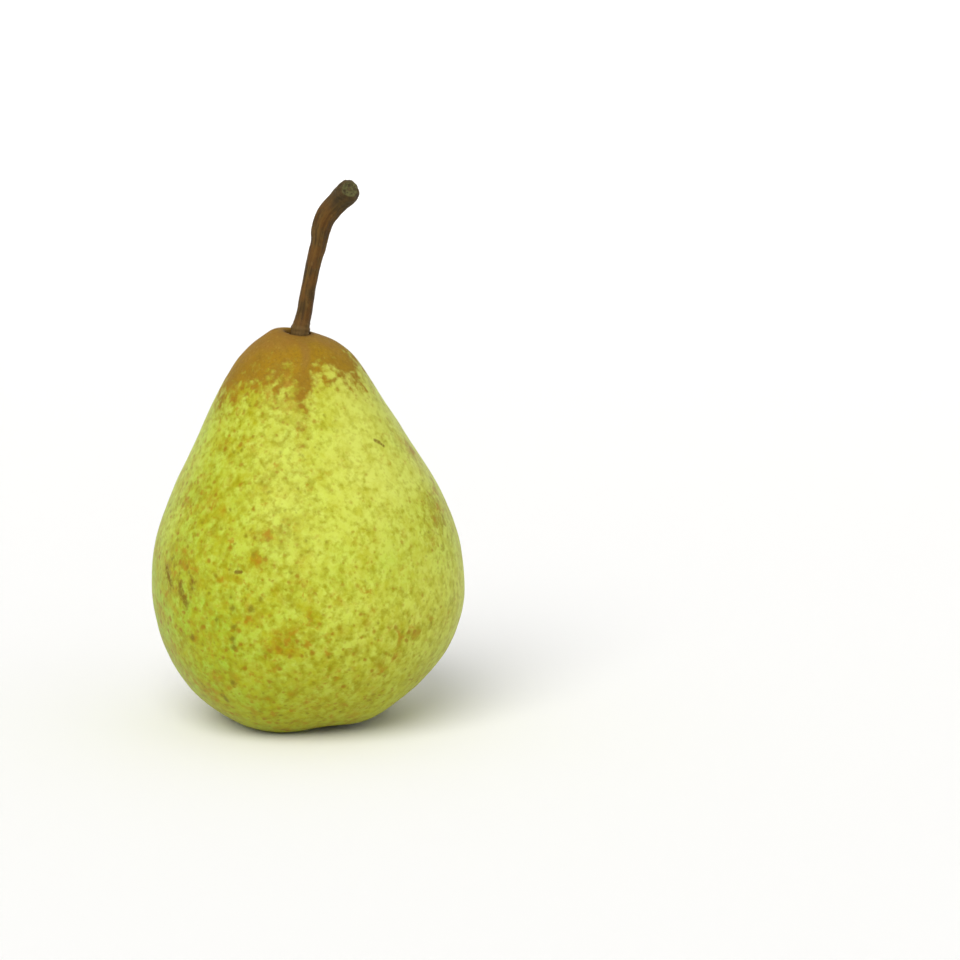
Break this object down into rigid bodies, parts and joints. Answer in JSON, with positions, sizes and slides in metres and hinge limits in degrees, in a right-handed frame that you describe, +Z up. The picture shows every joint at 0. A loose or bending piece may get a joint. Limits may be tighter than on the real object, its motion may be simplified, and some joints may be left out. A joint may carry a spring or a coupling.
{
  "type": "pear",
  "caption": "Ripe European pear standing upright, with a russet shoulder, a bent woody stem and a dried calyx underneath.",
  "frame": {"origin": "centre of the whole pear's bounding box at its bottom, on the plane it rests on", "axes": "+Z up, along the fruit from the resting spot to the stem; +X to the side the stem's end bends to; -Y is the front"},
  "size_m": [0.066, 0.066, 0.114],
  "materials": {
    "skin": "waxy yellow-green pear skin with orange-brown russet over the shoulder, russet flecks and small dark dots, soft low gloss",
    "stem_bark": "dull brown woody stem with fine lengthwise wrinkles and a darker swollen end",
    "dry_sepal": "dull dark brown dried leaf tissue",
    "dry_stamen": "dull dark brown dried filaments"
  },
  "bodies": {
    "root": {"fruit": "skin", "stem": "stem_bark", "sepal_1": "dry_sepal", "sepal_2": "dry_sepal", "sepal_3": "dry_sepal", "sepal_4": "dry_sepal", "sepal_5": "dry_sepal", "stamen_tuft": "dry_stamen"}
  },
  "joints": []
}
